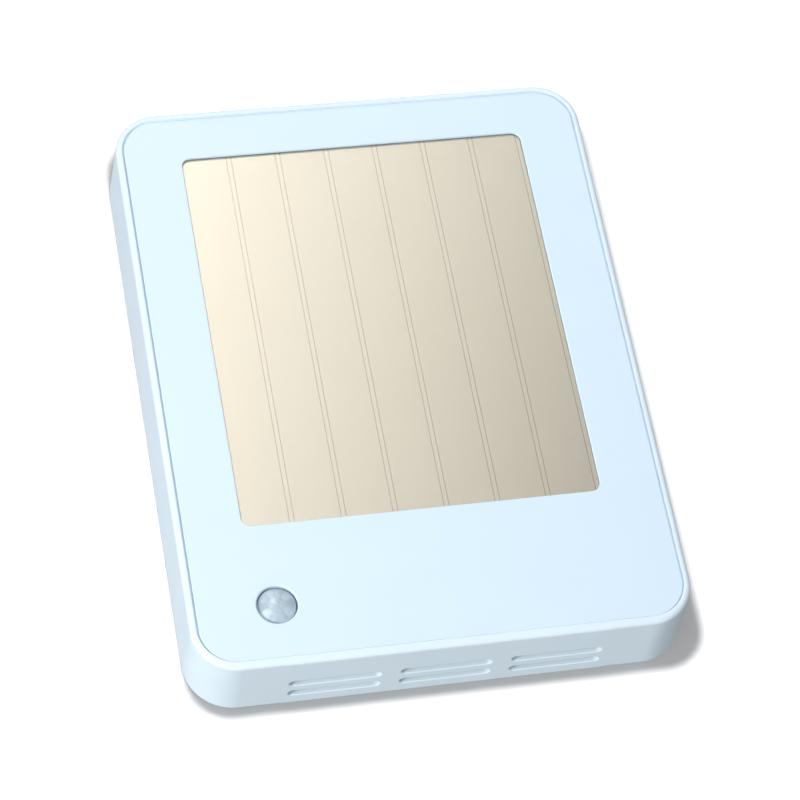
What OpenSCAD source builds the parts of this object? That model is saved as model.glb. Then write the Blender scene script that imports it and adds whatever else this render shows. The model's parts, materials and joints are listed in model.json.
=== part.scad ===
// Slim wall unit that charges its own cells from room light.
// X is across the unit, +Z is up on the wall, and the front faces -Y.
// The wall plane is y = 0, and the origin is the middle of the back.
// Depths are distances out from the wall, so depth d lies at y = -d.

/* [Housing] */
// Width across the housing at the wall
body_w = 122.4; // [122:0.2:140]
// Height of the housing at the wall
body_h = 157.7; // [157:0.1:180]
// Depth from the wall to the front of the rim
body_d = 20; // [20:0.1:24]
// Inward lean of each side wall, from the wall to the rim
draft = 0.9; // [0.3:0.1:1.2]
// Corner radius at the wall
corner_r = 12; // [11:0.1:14]
// Rounding of the front edge of the rim
rim_round = 1.2; // [0.6:0.1:1.4]
// Width across the inside of the housing
cavity_w = 116.8; // [114:0.2:117.2]
// Height of the inside of the housing
cavity_h = 152.1; // [150:0.1:152.5]
// Corner radius of the inside
cavity_r = 9.2; // [8:0.1:10]

/* [Front panel] */
// Width of the recess that takes the panel
recess_w = 117.3; // [116:0.1:117.4]
// Height of the recess that takes the panel
recess_h = 152.1; // [151:0.1:152.6]
// Corner radius of the recess
recess_r = 9.35; // [8:0.05:10]
// Gap between the panel and the rim at each side
side_gap = 0.45; // [0.2:0.05:0.6]
// Gap above the panel
top_gap = 0.6; // [0.2:0.05:0.8]
// Gap below the panel, which rests low in its recess
low_gap = 0.05; // [0.05:0.05:0.6]
// How far the panel sits below the rim
panel_sink = 0.1; // [0:0.05:0.3]
// Thickness of the panel
panel_t = 0.7; // [0.6:0.1:1.5]

/* [Window and light cells] */
// Width of the window
window_w = 88; // [85:0.5:90]
// Height of the window
window_h = 105.3; // [90:0.1:106]
// Corner radius of the window
window_r = 2.5; // [1:0.5:6]
// Sideways place of the window's middle
window_x = -0.15; // [-1:0.05:1]
// Height of the window's middle above the unit's middle
window_z = 11.2; // [8:0.1:12]
// Number of strip cells
cell_count = 7; // [5:1:7]
// Distance from one strip cell to the next
cell_pitch = 12.55; // [10:0.05:12.55]
// Width of the joint between two strip cells
cell_joint_w = 1.4; // [0.8:0.1:1.6]

/* [Motion lens] */
// Sideways place of the lens
lens_x = -39; // [-42:0.5:-36]
// Height of the lens, measured from the unit's middle
lens_z = -62.45; // [-63:0.05:-60]
// Radius of the lens hole in the panel
lens_hole_r = 4.85; // [4.85:0.05:5.2]
// Radius of the lens dome where it leaves its skirt
lens_r = 4.7; // [4.6:0.05:4.75]
// Height of the dome
lens_rise = 1.7; // [1.2:0.1:3]

/* [Vents] */
// Number of vent groups along the bottom wall
vent_groups = 3; // [1:1:3]
// Distance from one vent group to the next
vent_pitch = 26.8; // [24:0.1:27]
// Length of a vent slot
vent_len = 22; // [12:0.5:23]
// Width of a vent slot
vent_w = 2.3; // [1.5:0.1:2.4]
// Depth of the slot row nearer the wall
vent_low_d = 4.75; // [4.7:0.05:5.2]
// Depth of the slot row nearer the front
vent_high_d = 9.5; // [9:0.1:11]
// Half width of the raised pad around the vents
pad_half_w = 39; // [39:0.5:45]
// Height of the raised pad
pad_rise = 0.12; // [0.1:0.02:0.3]

/* [Wall plate] */
// Width of the wall plate
plate_w = 104; // [100:1:106]
// Height of the wall plate
plate_h = 132; // [128:1:134]
// Thickness of the wall plate
plate_t = 2; // [1.8:0.1:2]
// Distance between wall screws across the plate
screw_span_x = 88; // [84:1:90]
// Distance between wall screws up the plate
screw_span_z = 116; // [112:1:118]
// Radius of a wall screw hole
wall_hole_r = 2; // [1.8:0.1:2.2]
// Lift that frees the unit from the plate's hooks
lift = 8; // [6:0.5:8]

/* [Battery bay] */
// Radius of a cell
cell_r = 5.25; // [5:0.05:5.25]
// Length of a cell with its nub
cell_len = 44.5; // [42:0.5:44.5]
// Distance from one cell to the other
cell_rows = 11.2; // [10.8:0.1:11.4]
// Height of the bay's middle above the unit's middle
bay_z = 22; // [21:0.5:23]
// Depth of the cells' axes
bay_d = 9.45; // [9.4:0.05:9.8]

/* [Hidden] */
$fn = 64;
eps = 0.01;
sides = [-1, 1];

// Depth levels, from the wall to the front
plate_gap = 0.2;
cover_t = 1.6;
cover_out = plate_t + plate_gap;
cover_in = cover_out + cover_t;
board_back = 9.2;
board_front = 10.8;
panel_front = body_d - panel_sink;
panel_back = panel_front - panel_t;
deck_front = panel_back;

// Housing details
pad_root = 5;
vent_over = 1;
pilot_over = 1;
case_pilot_deep = 8;
small_pilot_deep = 5;

// Light-cell stack, from the panel back to the floor of its pocket in the deck
bond_t = 0.1;
film_t = 0.15;
cell_t = 0.1;
carrier_t = 0.4;
deck_t = 1.6;
bond_back = panel_back - bond_t;
film_back = bond_back - film_t;
cell_back = film_back - cell_t;
pocket_floor = cell_back - carrier_t;
deck_back = pocket_floor - deck_t;
stack_margin = 6.5;
pocket_w = window_w + stack_margin;
pocket_h = window_h + stack_margin;
stack_slack = 0.6;
strip_margin = 3;
stack_w = pocket_w - stack_slack;
stack_h = pocket_h - stack_slack;
strip_h = stack_h - strip_margin;
strip_shift = -0.5;
strip_x0 = window_x + strip_shift - cell_pitch * cell_count / 2;
busbar_w = cell_joint_w - 0.4;
flex_x = -20;
flex_z = window_z - pocket_h / 2 + 2.3;
flex_w = 10;
flex_t = 0.15;
flex_run = 12;
flex_reach = 5;
connector_h = 5;
connector_t = 2;

// Panel outline, and the pins that hold it
panel_w = recess_w - 2 * side_gap;
panel_h = recess_h - top_gap - low_gap;
panel_z = (low_gap - top_gap) / 2;
pin_x = 53;
pin_z = [-68, 0, 68];
pin_r = 1.2;
pin_len = 1.4;
pin_play = 0.2;

// Motion sensor
lens_base_d = panel_front - 1.4;
lens_wall = 0.5;
lens_flange_r = 5.8;
lens_flange_t = 0.7;
can_r = 4.1;
can_brim = 0.45;
can_front = 17;
can_back = 12.9;
can_window = 4.2;
sensor_pin_r = 0.23;
sensor_pin_ring = 2.54;
sensor_pin_turns = [90, 210, 330];
sensor_pin_hole_r = 0.4;

// Fasteners: shanks are drawn at their thread root
case_screw_x = 52.2;
case_screw_z = 69.8;
case_boss_r = 3.4;
case_shank_r = 1.05;
case_head_r = 2.5;
board_screw_at = [[-48, -4], [48, -4], [-49, -48], [49, -48]];
tray_screw_x = 30.5;
small_shank_r = 0.9;
small_head_r = 1.9;
small_boss_r = 2.8;
clear_hole_r = 1.3;
board_screw_reach = 5.5;
tray_screw_reach = 6;
case_screw_reach = 8.5;
slot_w = 0.5;
slot_deep = 0.6;
fit_gap = 0.05;

// Circuit board
board_half_w = 53;
board_low = -73;
board_high = 3;

// Parts on the wall side of the board: middle [x, z], size [across, up] and thickness
radio_at = [34, -20];
radio_size = [14, 20];
radio_t = 0.8;
shield_at = radio_at + [0, -3];
shield_size = [12, 12];
shield_t = 2;
antenna_at = radio_at + [0, 7.5];
antenna_size = [7, 2];
antenna_t = 1.2;
chip_t = 0.9;
chips = [[[-24, -24], [7, 7]], [[-36, -20], [5, 5]], [[12, -38], [4, 5]]];
inductor_at = [-36, -29];
inductor_size = [6, 6];
inductor_t = 3;
capacitor_row = [-28, -38];
capacitor_pitch = 4;
capacitor_count = 5;
capacitor_size = [1.6, 3.2];
capacitor_t = 1.2;
gas_at = [8, -62];
gas_base_size = [13, 13];
gas_cap_size = [12, 12];
gas_base_t = 0.8;
gas_cap_t = 3.4;
gas_cap_wall = 0.4;
gas_port_x = 3;
gas_port_r = 0.6;
climate_at = [28, -67];
climate_size = [3, 3];
climate_port_r = 0.5;

// Foam wall that keeps vent air over the sensors
foam_t = 2;
foam_left = -1;
foam_right = 36;
foam_low = -73;
foam_high = -52;

// Stiffening ribs above the battery bay
rib_x = [-36, -12, 12, 36];
rib_z = 56;
rib_t = 1.2;
rib_h = 36;
rib_deep = 4;

// Dust filter that lies on the inside of the vents
filter_t = 0.8;
filter_w = 80;
filter_front = 12.4;

// Hooks of the wall plate
hook_x = 43;
hook_z = [34, -44];
hook_w = 5;
hook_stem = 3;
hook_rise = 7;
hook_gap = 0.15;
hook_t = 1.3;
hook_slot_h = hook_stem + lift + 0.6;
plate_open_w = 68;
plate_open_low = -36;
plate_open_high = 48;

// Battery bay
tray_wall = 1.3;
tray_half_len = 24.6;
tray_half_h = cell_rows / 2 + cell_r + 0.3;
tray_back = 5;
tray_front = bay_d + cell_r + 1.2;
contact_t = 0.4;
nub_len = 1;
lead_r = 0.55;
lead_d = 8.1;
plug_x = -24;
plug_z = -1;
tray_ear_back = 9;
tray_ear_front = 10.2;
tray_ear_w = 5.2;

// Battery door, hinged along its lower edge
door_half_w = 28;
door_axis_d = cover_in - 0.3;
door_axis_z = bay_z - 12;
door_barrel_r = door_axis_d - cover_out;
door_top = bay_z + 13;
door_gap = 0.2;
door_pin_r = 0.9;
door_pin_reach = 2;

// Buttons
reset_x = 20;
reset_z = -8;
reset_r = 2.4;
reset_brim_r = 3.3;
plunger_r = 1.5;
plunger_end = 7;
switch_body_t = 3.5;
reset_body_w = 6;
switch_body_w = 9;
switch_body_h = 4;
switch_x = -9;
switch_z = -8;
switch_travel = 2;
knob_w = 2;
knob_h = 1.8;
knob_end = 7.2;

// Label field on the rear cover
label_w = 50;
label_h = 18;
label_z = -25;
label_t = 0.2;

// ---- helpers ----

// Extrudes a flat outline from depth d0 out to depth d1
module layer(d0, d1) {
    translate([0, -d0, 0])
        rotate([90, 0, 0])
            linear_extrude(d1 - d0) children();
}

// Round post along the depth, at x and z, with end radii r0 and r1
module post(d0, d1, x, z, r0, r1 = undef) {
    translate([x, -d0, z])
        rotate([90, 0, 0])
            cylinder(h = d1 - d0, r1 = r0, r2 = is_undef(r1) ? r0 : r1);
}

// Box from depth d0 to d1, centred on x and z
module block(d0, d1, x, z, w, h) {
    translate([x - w / 2, -d1, z - h / 2]) cube([w, d1 - d0, h]);
}

// Rounded rectangle, centred, made of squares and circles
module rounded_rect(w, h, r) {
    square([w - 2 * r, h], center = true);
    square([w, h - 2 * r], center = true);
    for (sx = sides, sz = sides)
        translate([sx * (w / 2 - r), sz * (h / 2 - r)]) circle(r);
}

// Slot with round ends, lying across
module round_slot(len, w) {
    square([len - w, w], center = true);
    for (s = sides) translate([s * (len - w) / 2, 0]) circle(w / 2);
}

// Heading of a flat direction, in degrees
function heading(v) = atan2(v[1], v[0]);

// Unit direction from one flat point to the next
function toward(p, q) = (q - p) / norm(q - p);

// Round wire at depth d through [x, z] points, with right-angle bends
module flat_wire(d, points, bend, r) {
    last = len(points) - 1;
    translate([0, -d, 0])
        rotate([90, 0, 0]) {
            for (i = [1 : last]) {
                way = toward(points[i - 1], points[i]);
                start = points[i - 1] + (i > 1 ? bend : 0) * way;
                end = points[i] - (i < last ? bend : 0) * way;
                translate(start)
                    rotate([0, 90, heading(way)])
                        cylinder(h = norm(end - start), r = r);
            }
            for (i = [1 : last - 1]) {
                come = toward(points[i - 1], points[i]);
                go = toward(points[i], points[i + 1]);
                left_turn = come[0] * go[1] - come[1] * go[0] > 0;
                translate(points[i] + bend * (go - come))
                    rotate([0, 0, left_turn ? heading(-go) : heading(come)])
                        rotate_extrude(angle = 90) translate([bend, 0]) circle(r);
            }
        }
}

// Countersunk screw whose head lies flush at depth d
module sunk_screw(d, x, z, shank_r, head_r, reach) {
    head_h = head_r - shank_r;
    difference() {
        union() {
            post(d, d + head_h, x, z, head_r, shank_r);
            post(d + head_h - eps, d + reach, x, z, shank_r);
        }
        for (a = [0, 90])
            translate([x, -d, z])
                rotate([0, a, 0])
                    cube([head_r, 2 * slot_deep, slot_w], center = true);
    }
}

// Pan-head screw seated at depth d
module pan_screw(d, x, z, shank_r, head_r, reach) {
    head_h = 1.3;
    difference() {
        union() {
            post(d - head_h, d, x, z, head_r);
            post(d - eps, d + reach, x, z, shank_r);
        }
        for (a = [0, 90])
            translate([x, -(d - head_h), z])
                rotate([0, a, 0])
                    cube([head_r * 1.2, 2 * slot_deep, slot_w], center = true);
    }
}

// ---- housing ----

// Half section of the leaning wall: reach is its half width at the wall
module half_section(reach) {
    front = reach - draft;
    polygon([
        [0, 0],
        [reach, 0],
        [front, body_d - rim_round],
        [front - rim_round, body_d],
        [0, body_d]
    ]);
    translate([front - rim_round, body_d - rim_round]) circle(rim_round);
}

module full_section(reach) {
    half_section(reach);
    mirror([1, 0]) half_section(reach);
}

// Solid outer form of the housing
module outer_form() {
    rotate([180, 0, 0])
        linear_extrude(body_h - 2 * corner_r, center = true)
            full_section(body_w / 2);
    rotate([0, 90, 0])
        rotate([180, 0, 0])
            linear_extrude(body_w - 2 * corner_r, center = true)
                full_section(body_h / 2);
    for (sx = sides, sz = sides)
        translate([sx * (body_w / 2 - corner_r), 0, sz * (body_h / 2 - corner_r)])
            rotate([90, 0, 0])
                rotate_extrude() half_section(corner_r);
}

// Low raised field on the bottom wall
module vent_pad() {
    reach = body_h / 2;
    rotate([0, 90, 0])
        rotate([180, 0, 0])
            linear_extrude(2 * pad_half_w, center = true)
                polygon([
                    [reach - pad_root, 0],
                    [reach + pad_rise, 0],
                    [reach + pad_rise - draft, body_d - rim_round],
                    [reach - pad_root, body_d - rim_round]
                ]);
}

module vent_slots() {
    for (g = [0 : vent_groups - 1], d = [vent_low_d, vent_high_d])
        translate([(g - (vent_groups - 1) / 2) * vent_pitch, -d, -body_h / 2 - vent_over])
            linear_extrude((body_h - cavity_h) / 2 + 2 * vent_over) round_slot(vent_len, vent_w);
}

module housing_bosses() {
    for (sx = sides, sz = sides)
        post(cover_in, deck_back + eps, sx * case_screw_x, sz * case_screw_z, case_boss_r);
    for (p = board_screw_at)
        post(board_front, deck_back + eps, p[0], p[1], small_boss_r);
    for (s = sides)
        post(tray_ear_front, deck_back + eps, s * tray_screw_x, bay_z, small_boss_r);
    for (x = rib_x)
        block(deck_back - rib_deep, deck_back + eps, x, rib_z, rib_t, rib_h);
}

module housing_pilots() {
    for (sx = sides, sz = sides)
        post(cover_in - pilot_over, cover_in + case_pilot_deep,
             sx * case_screw_x, sz * case_screw_z, case_shank_r + fit_gap);
    for (p = board_screw_at)
        post(board_front - pilot_over, board_front + small_pilot_deep, p[0], p[1], small_shank_r + fit_gap);
    for (s = sides)
        post(tray_ear_front - pilot_over, tray_ear_front + small_pilot_deep,
             s * tray_screw_x, bay_z, small_shank_r + fit_gap);
}

module housing() {
    color("white")
        difference() {
            union() {
                difference() {
                    union() {
                        outer_form();
                        vent_pad();
                    }
                    layer(-1, deck_back) rounded_rect(cavity_w, cavity_h, cavity_r);
                }
                housing_bosses();
            }
            layer(deck_front, body_d + 1) rounded_rect(recess_w, recess_h, recess_r);
            translate([window_x, 0, window_z])
                layer(pocket_floor, deck_front + 1) square([pocket_w, pocket_h], center = true);
            block(deck_back - 1, pocket_floor + 1, flex_x, flex_z, flex_w + 2, 2);
            post(deck_back - 1, body_d, lens_x, lens_z, lens_hole_r + fit_gap);
            vent_slots();
            housing_pilots();
            for (s = sides, z = pin_z)
                post(deck_front - pin_len - pin_play, body_d, s * pin_x, z, pin_r + fit_gap);
        }
}

// ---- front ----

module front_panel() {
    chamfer = 0.45;
    color("aliceblue")
        difference() {
            union() {
                translate([0, 0, panel_z])
                    layer(panel_back, panel_front) rounded_rect(panel_w, panel_h, recess_r - side_gap);
                for (s = sides, z = pin_z)
                    post(panel_back - pin_len, panel_back + eps, s * pin_x, z, pin_r);
            }
            translate([window_x, 0, window_z])
                layer(panel_back - 1, panel_front + 1) rounded_rect(window_w, window_h, window_r);
            post(panel_back - 1, panel_front + 1, lens_x, lens_z, lens_hole_r);
            post(panel_front - chamfer, panel_front + eps, lens_x, lens_z,
                 lens_hole_r, lens_hole_r + chamfer + eps);
        }
}

module pv_bond_frame() {
    margin = 2;
    color("gainsboro")
        translate([window_x, 0, window_z])
            layer(bond_back, panel_back)
                difference() {
                    square([stack_w, stack_h], center = true);
                    square([window_w + margin, window_h + margin], center = true);
                }
}

module pv_cover_film() {
    color("lightyellow", 0.35)
        translate([window_x, 0, window_z])
            layer(film_back, bond_back) square([stack_w, stack_h], center = true);
}

module pv_cells() {
    color("wheat")
        for (i = [0 : cell_count - 1])
            block(cell_back, film_back, strip_x0 + (i + 0.5) * cell_pitch, window_z,
                  cell_pitch - cell_joint_w, strip_h);
}

module pv_busbars() {
    color("silver")
        for (i = [0 : cell_count])
            block(cell_back, film_back, strip_x0 + i * cell_pitch, window_z, busbar_w, strip_h);
}

module pv_carrier_film() {
    color("rosybrown")
        translate([window_x, 0, window_z])
            layer(pocket_floor, cell_back) square([stack_w, stack_h], center = true);
}

module pv_flex_lead() {
    color("goldenrod") {
        block(flex_run, pocket_floor, flex_x, flex_z, flex_w, flex_t);
        block(flex_run, flex_run + flex_t, flex_x, flex_z + flex_reach / 2, flex_w, flex_reach + flex_t);
    }
}

module pv_connector() {
    color("ivory")
        difference() {
            block(board_front, board_front + connector_t,
                  flex_x, flex_z + flex_reach, flex_w + 4, connector_h);
            block(flex_run - fit_gap, flex_run + flex_t + fit_gap,
                  flex_x, flex_z + flex_reach - 1.6, flex_w + 0.4, connector_h - 1.2);
        }
}

// ---- motion sensor ----

// Ball radius of a dome with the given base radius and height
function dome_ball(base_r, rise) = (base_r * base_r + rise * rise) / (2 * rise);

// Dome cap that stands on its base plane at height 0
module dome(base_r, rise) {
    ball = dome_ball(base_r, rise);
    intersection() {
        translate([0, 0, rise - ball]) sphere(ball, $fn = 96);
        cylinder(h = rise + 1, r = base_r);
    }
}

module motion_lens() {
    inner_r = lens_r - lens_wall;
    color("lavender")
        translate([lens_x, 0, lens_z])
            rotate([90, 0, 0])
                difference() {
                    union() {
                        translate([0, 0, lens_base_d]) dome(lens_r, lens_rise);
                        translate([0, 0, deck_back - fit_gap])
                            cylinder(h = lens_base_d - deck_back + fit_gap, r = lens_r);
                        translate([0, 0, deck_back - fit_gap - lens_flange_t])
                            cylinder(h = lens_flange_t, r = lens_flange_r);
                    }
                    translate([0, 0, lens_base_d - eps]) dome(inner_r, lens_rise - lens_wall);
                    translate([0, 0, deck_back - 2]) cylinder(h = lens_base_d - deck_back + 2, r = inner_r);
                }
}

module motion_sensor_can() {
    color("silver")
        difference() {
            union() {
                post(can_back, can_front, lens_x, lens_z, can_r);
                post(can_back - 0.4, can_back + eps, lens_x, lens_z, can_r + can_brim);
            }
            block(can_front - 0.5, can_front + 1, lens_x, lens_z, can_window, can_window);
            for (a = sensor_pin_turns)
                post(can_back - 1, can_back + 2, lens_x + sensor_pin_ring * cos(a),
                     lens_z + sensor_pin_ring * sin(a), sensor_pin_r);
        }
}

module motion_sensor_window() {
    pane = can_window - 2 * fit_gap;
    color("dimgray") block(can_front - 0.5, can_front - 0.1, lens_x, lens_z, pane, pane);
}

module motion_sensor_pins() {
    color("gold")
        for (a = sensor_pin_turns)
            post(board_back - 1, can_back + 1.9, lens_x + sensor_pin_ring * cos(a),
                 lens_z + sensor_pin_ring * sin(a), sensor_pin_r);
}

// ---- circuit board ----

module circuit_board() {
    mid_z = (board_low + board_high) / 2;
    color("seagreen")
        difference() {
            translate([0, 0, mid_z])
                layer(board_back, board_front)
                    rounded_rect(2 * board_half_w, board_high - board_low, 2);
            for (s = sides)
                post(board_back - 1, board_front + 1, s * case_screw_x, -case_screw_z, case_boss_r + 0.5);
            for (p = board_screw_at)
                post(board_back - 1, board_front + 1, p[0], p[1], clear_hole_r);
            for (a = sensor_pin_turns)
                post(board_back - 1, board_front + 1, lens_x + sensor_pin_ring * cos(a),
                     lens_z + sensor_pin_ring * sin(a), sensor_pin_hole_r);
        }
}

module board_screws() {
    color("darkgray")
        for (p = board_screw_at)
            pan_screw(board_back, p[0], p[1], small_shank_r, small_head_r, board_screw_reach);
}

// Box of thickness t on the wall side of the board, or on a part that stands base off it
module on_board(at, size, t, base = 0) {
    block(board_back - base - t, board_back - base, at[0], at[1], size[0], size[1]);
}

module radio_module() {
    color("darkslateblue") on_board(radio_at, radio_size, radio_t);
}

module radio_shield() {
    color("silver") on_board(shield_at, shield_size, shield_t, radio_t);
}

module chip_antenna() {
    color("white") on_board(antenna_at, antenna_size, antenna_t, radio_t);
}

module board_chips() {
    color("black") for (chip = chips) on_board(chip[0], chip[1], chip_t);
}

module power_inductor() {
    color("dimgray") on_board(inductor_at, inductor_size, inductor_t);
}

module board_capacitors() {
    color("tan")
        for (i = [0 : capacitor_count - 1])
            on_board(capacitor_row + [capacitor_pitch * i, 0], capacitor_size, capacitor_t);
}

module gas_sensor_base() {
    color("seagreen") on_board(gas_at, gas_base_size, gas_base_t);
}

module gas_sensor_cap() {
    top = board_back - gas_base_t - gas_cap_t;
    inner = gas_cap_size - 2 * [gas_cap_wall, gas_cap_wall];
    color("lightgray")
        difference() {
            on_board(gas_at, gas_cap_size, gas_cap_t, gas_base_t);
            block(top + gas_cap_wall, board_back, gas_at[0], gas_at[1], inner[0], inner[1]);
            for (s = sides)
                post(top - 1, top + 1, gas_at[0] + s * gas_port_x, gas_at[1], gas_port_r);
        }
}

module climate_sensor() {
    color("black")
        difference() {
            on_board(climate_at, climate_size, chip_t);
            post(board_back - chip_t - 1, board_back - chip_t / 2,
                 climate_at[0], climate_at[1], climate_port_r);
        }
}

// Three-sided wall, open towards the vents
module sensor_foam_seal() {
    tall = foam_high - foam_low;
    wide = foam_right - foam_left;
    color("darkgray") {
        for (x = [foam_left, foam_right])
            block(cover_in, board_back, x, foam_low + tall / 2, foam_t, tall);
        block(cover_in, board_back, foam_left + wide / 2, foam_high - foam_t / 2, wide, foam_t);
    }
}

module vent_dust_filter() {
    color("whitesmoke")
        block(cover_in + 0.1, filter_front, 0, (filter_t - cavity_h) / 2 + fit_gap, filter_w, filter_t);
}

// ---- battery bay ----

module battery_tray() {
    outer_len = 2 * (tray_half_len + tray_wall);
    outer_h = 2 * (tray_half_h + tray_wall);
    color("whitesmoke")
        difference() {
            union() {
                block(tray_back, tray_front, 0, bay_z, outer_len, outer_h);
                for (s = sides) {
                    post(tray_ear_back, tray_ear_front, s * tray_screw_x, bay_z, small_boss_r);
                    block(tray_ear_back, tray_ear_front, s * (tray_screw_x - tray_ear_w / 2), bay_z,
                          tray_ear_w, 2 * small_boss_r);
                }
            }
            block(tray_back - 1, bay_d, 0, bay_z, 2 * tray_half_len, 2 * tray_half_h);
            for (s = sides) {
                translate([-tray_half_len, -bay_d, bay_z + s * cell_rows / 2])
                    rotate([0, 90, 0])
                        cylinder(h = 2 * tray_half_len, r = cell_r + 0.15);
                post(tray_ear_back - 1, tray_ear_front + 1, s * tray_screw_x, bay_z, clear_hole_r);
                // Slot that lets a contact's solder tab out
                block(bay_d - 1.2, bay_d + 1.2, -tray_half_len - 1, bay_z + s * cell_rows / 2, 4, 3);
            }
        }
}

module tray_screws() {
    color("darkgray")
        for (s = sides)
            pan_screw(tray_ear_back, s * tray_screw_x, bay_z, small_shank_r, small_head_r, tray_screw_reach);
}

// One cell along X with its nub towards +X, nub tip at x = 0
module cell() {
    rotate([0, -90, 0]) {
        cylinder(h = nub_len + eps, r = 1.9);
        translate([0, 0, nub_len]) cylinder(h = cell_len - nub_len, r = cell_r);
    }
}

module battery_cells() {
    tip = tray_half_len - contact_t;
    color("steelblue") {
        translate([tip, -bay_d, bay_z - cell_rows / 2]) cell();
        translate([-tip, -bay_d, bay_z + cell_rows / 2]) rotate([0, 180, 0]) cell();
    }
}

// Point along a coil that narrows from r0 to r1 over its length
function coil_point(t, r0, r1, length, turns) =
    let (r = r0 + (r1 - r0) * t, a = 360 * turns * t)
    [length * t, r * cos(a), r * sin(a)];

module coil(r0, r1, length, turns, wire_r) {
    steps = 36;
    for (i = [0 : steps - 1])
        hull() {
            translate(coil_point(i / steps, r0, r1, length, turns)) sphere(wire_r, $fn = 8);
            translate(coil_point((i + 1) / steps, r0, r1, length, turns)) sphere(wire_r, $fn = 8);
        }
}

module battery_springs() {
    wire_r = 0.33;
    seat = tray_half_len - contact_t;
    room = 2 * seat - cell_len;
    travel = room - 2 * wire_r - 0.04;
    color("gold") {
        translate([-seat + wire_r + 0.02, -bay_d, bay_z - cell_rows / 2])
            coil(3.6, 2.2, travel, 3, wire_r);
        translate([seat - wire_r - 0.02, -bay_d, bay_z + cell_rows / 2])
            rotate([0, 180, 0]) coil(3.6, 2.2, travel, 3, wire_r);
    }
}

module battery_contacts() {
    pad = 8;
    pad_front = bay_d + 3.2;
    x = tray_half_len - contact_t / 2;
    color("silver") {
        block(bay_d - pad / 2, bay_d - 0.1, x, bay_z, contact_t, pad + cell_rows);
        for (s = sides) {
            z = bay_z + s * cell_rows / 2;
            block(bay_d - pad / 2, pad_front, x, z, contact_t, pad);
            block(bay_d - pad / 2, pad_front, -x, z, contact_t, pad);
            block(lead_d + lead_r, lead_d + lead_r + 0.6, -tray_half_len - 1.7, z, 4, 2);
        }
    }
}

// Lead from a solder tab at height z0, down at x1, into the plug at x2
module battery_lead(z0, x1, z1, x2) {
    tab_x = -tray_half_len - 2.9;
    flat_wire(lead_d, [[tab_x, z0], [x1, z0], [x1, z1], [x2, z1], [x2, plug_z + 0.7]], 1.5, lead_r);
}

module battery_lead_plus() {
    color("crimson") battery_lead(bay_z + cell_rows / 2, -34.4, 4.2, plug_x - 1);
}

module battery_lead_minus() {
    color("black") battery_lead(bay_z - cell_rows / 2, -31.6, 6.2, plug_x + 1);
}

module battery_plug() {
    color("ivory")
        difference() {
            block(lead_d - 0.9, lead_d + 0.9, plug_x, plug_z, 4.4, 3.4);
            for (s = sides)
                translate([plug_x + s, -lead_d, plug_z + 0.7]) cylinder(h = 3, r = lead_r + fit_gap);
        }
}

module battery_socket() {
    color("ivory")
        difference() {
            block(lead_d - 1.5, board_back, plug_x, plug_z - 1.1, 6, 4.4);
            block(lead_d - 1, board_back + 1, plug_x, plug_z + 0.2, 4.6, 3.8);
        }
}

// ---- back ----

module door_opening() {
    low = door_axis_z - door_barrel_r - door_gap;
    high = door_top + door_gap;
    block(cover_out - 1, cover_in + 3, 0, (low + high) / 2, 2 * (door_half_w + door_gap), high - low);
}

module rear_cover() {
    ear_w = 3;
    ear_x = door_half_w + door_gap + ear_w / 2;
    color("white")
        difference() {
            union() {
                layer(cover_out, cover_in)
                    rounded_rect(cavity_w - 0.3, cavity_h - 0.3, cavity_r - 0.15);
                for (s = sides)
                    block(cover_out, door_axis_d + 2, s * ear_x, door_axis_z, ear_w, 4);
            }
            door_opening();
            // Hinge bores for the door's stub pins
            for (s = sides)
                translate([s * ear_x, -door_axis_d, door_axis_z])
                    rotate([0, 90, 0])
                        cylinder(h = ear_w + 1, r = door_pin_r + fit_gap, center = true);
            // Finger dish above the door
            post(cover_out - 1, cover_out + 0.8, 0, door_top + 1, 7);
            for (sx = sides, sz = sides) {
                post(cover_out - 1, cover_in + 1, sx * case_screw_x, sz * case_screw_z, clear_hole_r);
                post(cover_out - eps, cover_out + 1.5, sx * case_screw_x, sz * case_screw_z,
                     case_head_r + 0.15, clear_hole_r - 0.15);
            }
            // Slots for the wall plate's hooks
            for (s = sides, z = hook_z)
                block(cover_out - 1, cover_in + 1, s * hook_x, z + hook_stem / 2 + 0.1 - hook_slot_h / 2,
                      hook_w + 0.8, hook_slot_h);
            post(cover_out - 1, cover_in + 1, reset_x, reset_z, reset_r + 0.1);
            block(cover_out - 1, cover_in + 1, switch_x + switch_travel / 2, switch_z,
                  knob_w + switch_travel + 0.6, knob_h + 0.6);
            block(cover_out - 1, cover_out + label_t, 0, label_z, label_w + 0.4, label_h + 0.4);
            // Relief behind the slot row nearer the wall
            block(cover_in - 0.5, cover_in + 1, 0, -cavity_h / 2, 2 * pad_half_w, 8);
        }
}

module rear_cover_screws() {
    color("darkgray")
        for (sx = sides, sz = sides)
            sunk_screw(cover_out, sx * case_screw_x, sz * case_screw_z,
                       case_shank_r, case_head_r, case_screw_reach);
}

module battery_door() {
    color("white")
        difference() {
            union() {
                block(cover_out, cover_in, 0, (door_axis_z + door_top) / 2,
                      2 * door_half_w, door_top - door_axis_z);
                translate([0, -door_axis_d, door_axis_z])
                    rotate([0, 90, 0])
                        cylinder(h = 2 * door_half_w, r = door_barrel_r, center = true);
                translate([0, -door_axis_d, door_axis_z])
                    rotate([0, 90, 0])
                        cylinder(h = 2 * (door_half_w + door_pin_reach), r = door_pin_r, center = true);
            }
            // Grip lines across the free edge
            for (i = [0 : 3])
                block(cover_out - 1, cover_out + 0.3, 0, door_top - 3 - 1.6 * i, 16, 0.7);
        }
}

module battery_door_pad() {
    color("dimgray") block(cover_in, cover_in + 0.3, 0, bay_z, 36, 3);
}

module reset_button() {
    color("gainsboro") {
        post(cover_out + 0.1, cover_in + 0.3, reset_x, reset_z, reset_r);
        post(cover_in + 0.05, cover_in + 0.65, reset_x, reset_z, reset_brim_r);
    }
}

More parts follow.
